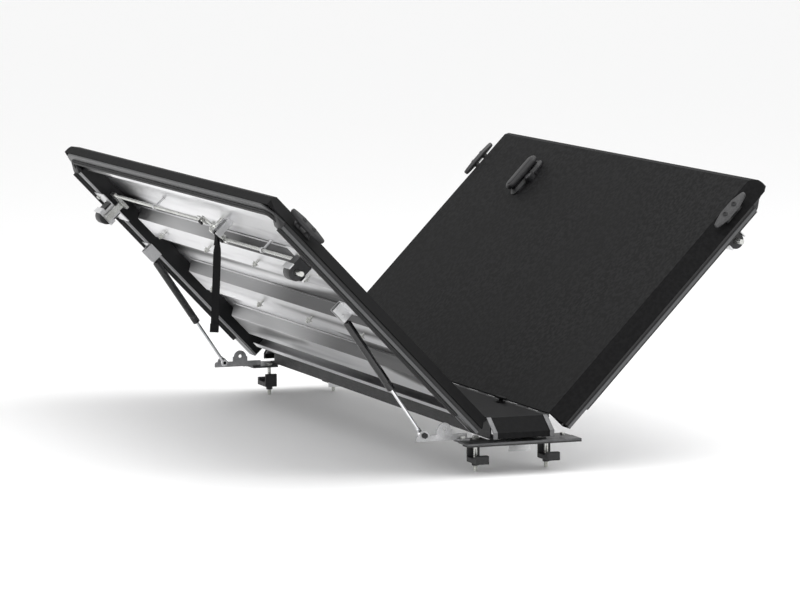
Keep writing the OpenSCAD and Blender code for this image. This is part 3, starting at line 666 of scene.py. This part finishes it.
def outline_inset(points, inset, height):
    """A convex outline drawn in towards its middle, along each side's own normal."""
    count = len(points)
    out = []
    for i in range(count):
        ax, ay = points[i - 1]
        bx, by = points[i]
        cx, cy = points[(i + 1) % count]
        n1 = Vector((by - ay, ax - bx)).normalized()
        n2 = Vector((cy - by, bx - cx)).normalized()
        middle = (n1 + n2).normalized()
        step = inset / max(middle.dot(n1), 0.5)
        out.append((bx - middle.x * step, by - middle.y * step, height))
    return out


def thread(radius, low, high, pitch=1.25):
    """A profile with thread crests, for turned()."""
    steps = [(radius - 0.9, low)]
    h = low + 0.9
    while h < high - pitch:
        steps += [(radius, h), (radius, h + pitch * 0.25), (radius - 0.55, h + pitch * 0.62)]
        h += pitch
    return steps + [(radius, high)]


# ---------- finer pieces on the panels ----------

# Sizes that the CAD model shares, in mm
BEVEL_W, BEVEL_DROP = 42, 31
RAIL_CORNER_R = 60
RAIL_W = 47
RAIL_STEP = 12            # far rail's foot above the side rails' foot
CLEAT_REACH = 16          # a cleat's middle to each of its screws
BOLT_X = (-535, -178, 178, 535)
BOLT_U = (288, 486)
LATCH_SCREW = (756, 34, -53)   # x, the step either side of a bolt's guide, and height
ROTOR_PIN = (34, 30)      # radius, and lean in degrees

CLEAT_OUTLINE = ((13, -20), (13, 20), (9, 38), (5.5, 51), (2.5, 54), (-2.5, 54), (-5.5, 51), (-9, 38),
                 (-13, 20), (-13, -20), (-9, -38), (-5.5, -51), (-2.5, -54), (2.5, -54), (5.5, -51), (9, -38))
# The rear cleats take the darker black casting as painted shade; the front ones the grey cleat casting.
CLEAT_LOOK_REAR_SHADED = {"rear": "casting", "front": "cleat"}
# Distance along, inner and outer inset, and rise of the foot
PLUG_STEPS = ((0, RAIL_W, 1.8, 0.2), (5, 46, 2.0, 2.0), (12, 44, 3.4, 5.6), (20, 42, 6.0, 9.4),
              (25, 40, 9.0, 11.7))
# Insets and heights of the rings that make up a handle's grip and, below, a cleat's plate
GRIP_STEPS = ((3.0, 15.5), (0.8, 16.4), (0.0, 18.0), (0.0, 23.5), (0.9, 26.2), (2.8, 28.2), (6.0, 29.2),
              (7.4, 29.4), (8.2, 30.6), (9.6, 31.2), (13.0, 31.5))
PLATE_STEPS = ((4.5, 12.0), (1.6, 13.2), (0.0, 15.6), (0.0, 21.2), (0.8, 22.9), (2.6, 24.0), (4.0, 24.2))
POST = ((9.4, 2.0), (8.0, 3.0), (7.2, 4.6), (6.9, 7.0), (7.4, 9.6), (8.6, 11.4), (9.0, 12.1))
SCREW = ((6.2, 24.25), (6.4, 24.9), (6.0, 26.2), (4.6, 26.9), (3.4, 26.9), (3.1, 25.2), (0.6, 25.0))
HUB = ((5.9, 2.0), (5.9, 12.4), (10.6, 12.6), (10.2, 13.2), (9.6, 14.2), (11.0, 15.0), (12.5, 15.6),
       (12.5, 16.6))
POD_STEPS = ((118, 43, 3.02), (114, 40, 3.8), (110, 36, 6.0), (104, 32, 9.6), (100, 29, 11.4), (96, 25, 12.2))
PIN_CAP = ((4.2, 0.0), (6.6, -0.3), (7.2, -1.4), (7.2, -4.2), (6.4, -5.4), (4.4, -6.0), (0.6, -6.1))
BEZEL = ((9.6, 13.05), (12.2, 13.05), (12.9, 13.5), (12.6, 14.2), (11.2, 14.7), (9.9, 14.6))
WASHER = ((3.1, -1.6), (8.2, -1.6), (9.0, -1.2), (9.0, -0.3), (8.6, 0.0), (3.1, 0.0))


def cleat_frame(panel, sign):
    """On the side bevel, z square to it."""
    low, high = panel.box(panel.side + "_skin")
    cleats = panel.box(panel.side + "_cleats")
    middle = (cleats[0].y + cleats[1].y) / 2 / MM
    half_w = high.x / MM
    base = panel.matrix if sign > 0 else panel.matrix @ MIRROR
    slope = Matrix.Rotation(math.atan2(BEVEL_DROP, BEVEL_W), 4, "Y")
    return placed(base, half_w - BEVEL_W / 2, middle, -BEVEL_DROP / 2) @ slope


def add_cleats(panel):
    plates, posts, screws = Shape(), Shape(), Shape()
    outline = [Vector(p) for p in CLEAT_OUTLINE]
    for sign in (-1, 1):
        base = cleat_frame(panel, sign)
        plates.loft([outline_inset(outline, i, h) for i, h in PLATE_STEPS], base)
        posts.block((-9, -26, 0.05), (9, 26, 2.0), base, 0.9)
        for d in (-CLEAT_REACH, CLEAT_REACH):
            at = placed(base, 0, d)
            posts.turned(POST, at)
            screws.turned(SCREW, at)
    plates.piece(panel.side + "_cleat_plates", CLEAT_LOOK_REAR_SHADED[panel.side], panel.body, (panel.side + "_cleats",))
    posts.piece(panel.side + "_cleat_posts", "casting", panel.body)
    screws.piece(panel.side + "_cleat_screws", "casting", panel.body)


def add_panel_bolts(panel):
    side = panel.side
    ribs = panel.box(side + "_ribs")
    crown = ribs[0].z / MM
    bolts = Shape()
    for x in BOLT_X:
        for u in BOLT_U:
            at = placed(panel.matrix, x, u, crown)
            bolts.turned(WASHER, at, 32, True)
            bolts.hexagon(6.5, -7.0, -1.65, at, 3.05)
            bolts.turned(thread(3.0, -11.5, -1.0, 1.0) + [(3.0, 27.0)], at, 24)
    guides = panel.box(side + "_latch_guides")
    guide_u = (guides[0].y + guides[1].y) / 2 / MM
    screw_x, step, screw_z = LATCH_SCREW
    for sign in (-1, 1):
        base = panel.matrix if sign > 0 else panel.matrix @ MIRROR
        for d in (-step, step):
            at = placed(base, screw_x, guide_u + d, screw_z)
            bolts.turned(((6.4, -0.9), (6.9, -0.6), (6.9, 0.0), (0.5, 0.0)), at)
            bolts.hexagon(6.0, -4.5, -0.9, at)
    bolts.piece(side + "_nuts_and_studs", "zinc", panel.body, (side + "_panel_bolts",), 25)


def add_grip(panel):
    side = panel.side
    low, high = panel.box(side + "_handle")
    middle = (low + high) / 2 / MM
    at = placed(panel.matrix, middle.x, middle.y, 0)
    grip = Shape()
    grip.loft([stadium(112, 36, i, h) for i, h in GRIP_STEPS], at)
    grip.turned(HUB, at, 40)
    grip.piece(side + "_handle_grip", "plastic", side + "_handle_set", (side + "_handle",), 28)
    spindle = Shape()
    spindle.turned(thread(6.0, -43.0, -36.0, 1.5) + [(5.9, -30.0), (5.9, 2.0)], at, 32)
    spindle.piece(side + "_handle_spindle", "zinc", side + "_handle_set")


def add_handle_pod(panel):
    """Raised middle of the handle's base, open for the spindle."""
    low, high = panel.box(panel.side + "_handle")
    middle = (low + high) / 2 / MM
    rings = [stadium(long, wide, 0, h) for long, wide, h in POD_STEPS]
    rings += [stadium(12.3, 12.2, 0, 12.2), stadium(12.3, 12.2, 0, 3.02)]
    pod = Shape()
    pod.loft(rings, placed(panel.matrix, middle.x, middle.y, 0), closed=True)
    pod.piece(panel.side + "_handle_pod", "plastic", panel.body, (), 30)


def add_lock_bezel(panel):
    side = panel.side
    x = panel.box(side + "_lock_cylinder")[1].x / MM - 9
    middle = panel.box(side + "_handle_base")
    u = (middle[0].y + middle[1].y) / 2 / MM
    at = placed(panel.matrix, x, u, 0)
    ring = Shape()
    ring.turned(BEZEL, at, 40, True)
    ring.piece(side + "_lock_bezel", "casting", panel.body)


def add_rotor_caps(panel):
    """Black caps on the rotor's two pins."""
    side = panel.side
    low, high = panel.box(side + "_rotor")
    middle = (low + high) / 2 / MM
    caps = Shape()
    reach, lean = ROTOR_PIN[0], math.radians(ROTOR_PIN[1])
    for s in (-1, 1):
        x = middle.x - s * reach * math.sin(lean)
        u = middle.y + s * reach * math.cos(lean)
        caps.turned(PIN_CAP, placed(panel.matrix, x, u, low.z / MM), 32)
    caps.piece(side + "_rotor_pin_caps", "casting", side + "_handle_set", (), 30)


def add_rail_corners(panel):
    """Black plugs that lead the deep side rails into the shallower rail of the far edge."""
    side = panel.side
    skin = panel.box(side + "_skin")[1] / MM
    rails = panel.box(side + "_side_rails")[0] / MM
    plugs = Shape()
    start = skin.y - RAIL_CORNER_R + 0.2
    for sign in (-1, 1):
        base = panel.matrix if sign > 0 else panel.matrix @ MIRROR
        rings = []
        for along, inner, outer, foot in PLUG_STEPS:
            left, right = skin.x - inner, skin.x - outer
            low, top = rails.z + foot, rails.z + RAIL_STEP
            rings.append([(left, start + along, low + 0.6), (left + 0.8, start + along, low),
                          (right - 1.0, start + along, low), (right, start + along, low + 0.8),
                          (right, start + along, top), (left, start + along, top)])
        plugs.loft(rings, base)
    plugs.piece(side + "_rail_corner_plugs", "rail_plug", panel.body, (), 40)


for panel in panels.values():
    add_rail_corners(panel)
    add_cleats(panel)
    add_panel_bolts(panel)
    add_grip(panel)
    add_handle_pod(panel)
    add_lock_bezel(panel)
    add_rotor_caps(panel)


# ---------- gas struts ----------

def strut_frame(eye, far):
    """z runs from one eye's centre to the other, x along the vehicle's width."""
    z = (far - eye).normalized()
    x = Vector((1, 0, 0))
    y = z.cross(x).normalized()
    turn = Matrix((x, y, z)).transposed().to_4x4()
    return Matrix.Translation(eye) @ turn


def eye_ring(shape, at, cross):
    """A round eye with eased rims and a bore."""
    ring = ((4.1, -cross), (7.6, -cross), (8.6, -cross + 0.8), (9.0, -cross + 1.8), (9.0, cross - 1.8),
            (8.6, cross - 0.8), (7.6, cross), (4.1, cross))
    shape.turned(ring, at @ Matrix.Rotation(math.pi / 2, 4, "Y"), 40, True)


def add_strut(side, hand):
    cylinder, rod = f"{side}_strut_cylinder_{hand}", f"{side}_strut_rod_{hand}"
    upper = Vector(joints[f"{side}_strut_pivot_{hand}"]["pos_m"])
    slide = Vector(joints[f"{side}_strut_slide_{hand}"]["axis"])
    points = [v.co for v in frame["nodes"][cylinder].data.vertices]
    rod_points = [v.co for v in frame["nodes"][rod].data.vertices]
    line = slide if (sum(rod_points, Vector()) / len(rod_points) - upper).dot(slide) > 0 else -slide
    at = strut_frame(upper, upper + line)
    body_end = max((p - upper).dot(line) for p in points) / MM
    far = max((p - upper).dot(line) for p in rod_points) / MM - 9.0
    half = max(abs((p - upper).x) for p in points if (p - upper).length < 0.012) / MM
    tube = Shape()
    eye_ring(tube, at, half)
    groove = body_end - 24
    profile = [(3.6, 7.6), (4.6, 8.4), (4.6, 17.0), (5.6, 18.2), (7.4, 19.4), (8.9, 20.6), (9.5, 22.6)]
    profile += [(r, groove + h) for r, h in ((9.5, 0.0), (9.1, 0.8), (8.6, 2.0), (9.1, 3.2), (9.5, 4.0))]
    mouth = ((9.5, 2.6), (9.2, 1.2), (8.2, 0.2), (6.6, 0.0), (4.15, 0.0), (4.15, 12.0))
    profile += [(r, body_end - h) for r, h in mouth]
    tube.turned(profile, at, 48)
    tube.piece(cylinder + "_tube", "strut_paint", f"{side}_strut_{hand}", (cylinder,), 28)
    bar = Shape()
    end = placed(at, 0, 0, far)
    eye_ring(bar, end, half)
    steps = ((3.6, -7.6), (5.2, -8.4), (5.2, -17.0), (4.6, -18.0), (4.0, -18.4), (4.0, body_end - far - 18))
    bar.turned(steps, end, 32)
    bar.piece(rod + "_bar", "rod", f"{side}_strut_rod_{hand}", (rod,), 28)


for side in SIDES:
    for hand in HANDS:
        add_strut(side, hand)


# ---------- pull strap ----------

STRAP_LONG = 240.0
STRAP_WIDE = 20.0
HEM_WIDE = 21.4
# The band's section, as parts of its width and thickness: thick rolled edges, thinner between
BAND_HALF = ((-0.5, -0.25), (-0.47, -0.5), (-0.2, -0.42), (0.2, -0.42), (0.47, -0.5), (0.5, -0.25))
BAND_SECTION = BAND_HALF + tuple((-x, -t) for x, t in BAND_HALF)


def strap_line():
    """The webbing's middle line in mm below its pin, as (across, down): tail, loop and hanging part."""
    line = [(-2.3, 30.0 - 2.0 * i) for i in range(12)]
    radius = 4.25
    for k in range(13):
        t = math.pi * (1.05 - 1.1 * k / 12)
        line.append((radius * math.cos(t), -radius * math.sin(t)))
    return line


def twist_at(down):
    """The hanging part turns about its own length, away from the pin's direction."""
    step = min(max((down - 10.0) / 45.0, 0.0), 1.0)
    return math.radians(52.0) * step * step * (3 - 2 * step)


def lean_at(down):
    """The webbing's set makes it hang a little to the rear at its foot."""
    return -9.0 * (max(down, 0.0) / STRAP_LONG) ** 1.5


def turned_about(points, angle):
    c, s = math.cos(angle), math.sin(angle)
    return [(x * c - y * s, x * s + y * c, z) for x, y, z in points]


def ribbon(shape, line, base, wide, thick, uneven=0.0):
    """A flat band along a line of (across, down) points. uneven draws its edges in, by up to 2 percent."""
    rings = []
    for i, (a, d) in enumerate(line):
        a0, d0 = line[max(i - 1, 0)]
        a1, d1 = line[min(i + 1, len(line) - 1)]
        length = math.hypot(a1 - a0, d1 - d0)
        na, nd = (d1 - d0) / length, -(a1 - a0) / length
        w = wide * (1.0 - uneven * abs(math.sin(i * 0.9)) * 0.02)
        ring = [(x * w, a + t * thick * na, -(d + t * thick * nd)) for x, t in BAND_SECTION]
        rings.append([(x, y + lean_at(d), z) for x, y, z in turned_about(ring, twist_at(d))])
    shape.loft(rings, base)


def add_strap():
    pin = Vector(joints["strap_swing"]["pos_m"])
    at = Matrix.Translation(pin)
    band = Shape()
    loop = strap_line()
    steps = range(6, int(STRAP_LONG) - 1, 6)
    hang = [(0.9 + 1.2 * math.exp(-d / 26.0) + 0.35 * math.sin(d / 31.0), d) for d in steps]
    ribbon(band, loop + hang, at, STRAP_WIDE, 1.9, 1.0)
    hem = [(-1.1, d) for d in range(int(STRAP_LONG) - 20, int(STRAP_LONG) + 3, 3)]
    ribbon(band, hem, at, HEM_WIDE, 1.7)
    ribbon(band, [(3.0, d) for _, d in hem], at, HEM_WIDE, 1.3)
    # Three rows of stitches under the loop and three on the hem, on both faces
    for first, faces in ((14, (-3.4, 2.9)), (STRAP_LONG - 17, (-2.1, 3.75))):
        for row in range(3):
            down = first + row * 5.0
            turned = placed(at, 0, lean_at(down)) @ Matrix.Rotation(twist_at(down), 4, "Z")
            for k in range(9):
                for across in faces:
                    stitch = placed(turned, -8.0 + 2.0 * k, across, -down)
                    band.block((-0.75, -0.28, -0.35), (0.75, 0.28, 0.35), stitch, 0.2)
    strap = band.piece("pull_strap_webbing", "webbing", "pull_strap", ("pull_strap",), 40)


add_strap()


# ---------- bolts of the centre section ----------

FLANGE = ((0.93, 0.02), (0.99, 0.02), (0.99, 0.5), (0.9, 0.6))


def add_bolt(bolts, at, seat, radius, head, rise, tip):
    """A flanged hex bolt, head up. One that reaches down to the clamps is threaded."""
    bolts.hexagon(head, seat, seat + rise, at)
    bolts.turned([(head * part, seat + up) for part, up in FLANGE], at, 32, True)
    if tip < 10:
        bolts.turned(thread(radius, tip, 40.0, 1.5) + [(radius, seat + 1)], at, 24)
    else:
        bolts.turned(((radius - 0.8, tip), (radius, tip + 0.8), (radius, seat + 1)), at, 24)


def add_mounting_bolts():
    bolts = Shape()
    for sx in (-1, 1):
        for sy in (-1, 1):
            bar_seat = 82 if sy < 0 else 78
            add_bolt(bolts, placed(Matrix(), sx * 714, sy * 90), 78, 5.0, 8.5, 6.0, 0.3)
            add_bolt(bolts, placed(Matrix(), sx * 728, sy * 126), bar_seat, 4.0, 6.5, 5.0, 73.0)
            add_bolt(bolts, placed(Matrix(), sx * 764, sy * 50), 81, 4.0, 6.5, 5.0, 73.0)
    bolts.piece("mounting_bolt_set", "zinc", "centre_section", ("mounting_bolts",), 25)


add_mounting_bolts()


# ---------- floor, light and camera ----------

def stage_floor():
    """A wide pale disc under the cover."""
    mesh = bpy.data.meshes.new("floor")
    ring = [(30 * math.cos(a), 30 * math.sin(a), 0.0) for a in (2 * math.pi * i / 96 for i in range(96))]
    mesh.from_pydata(ring, [], [list(range(96))])
    floor = bpy.data.objects.new("floor", mesh)
    bpy.context.scene.collection.objects.link(floor)
    n = Nodes("pale_floor")
    floor.data.materials.append(n.finish((0.93, 0.93, 0.93), 0.7))


def area_light(name, place, aim, size, power, spread=180):
    data = bpy.data.lights.new(name, "AREA")
    data.shape = "RECTANGLE"
    data.size, data.size_y = size
    data.energy = power
    data.spread = math.radians(spread)
    lamp = bpy.data.objects.new(name, data)
    bpy.context.scene.collection.objects.link(lamp)
    lamp.location = place
    lamp.rotation_mode = "QUATERNION"
    lamp.rotation_quaternion = (Vector(aim) - Vector(place)).to_track_quat("-Z", "Y")


def world_light():
    """Even white light from all round."""
    world = bpy.data.worlds.new("studio")
    bpy.context.scene.world = world
    world.use_nodes = True
    background = world.node_tree.nodes["Background"]
    background.inputs["Color"].default_value = (1.0, 1.0, 1.0, 1.0)
    background.inputs["Strength"].default_value = 1.0


stage_floor()
world_light()
area_light("top", (0.5, 0.5, 4.0), (0, 0, 0.3), (4.0, 3.0), 75)
area_light("key", (3.5, 3.0, 3.5), (0, 0, 0.3), (2.0, 2.0), 45)
area_light("fill", (4.5, -4.5, 2.0), (0, 0, 0.3), (3.0, 2.0), 40)

camera_data = bpy.data.cameras.new("camera")
camera = bpy.data.objects.new("camera", camera_data)
bpy.context.scene.collection.objects.link(camera)
bpy.context.scene.camera = camera
eye = Vector((10.472, -4.091, 1.621))
target = (cad_box[0] + cad_box[1]) / 2 + Vector((0, 0, -0.01))
camera.location = eye
camera.rotation_mode = "QUATERNION"
camera.rotation_quaternion = (target - eye).to_track_quat("-Z", "Y")
camera_data.sensor_width = 36.0
camera_data.lens = 205.0
camera_data.clip_end = 100.0

bpy.context.scene.view_settings.view_transform = "Standard"
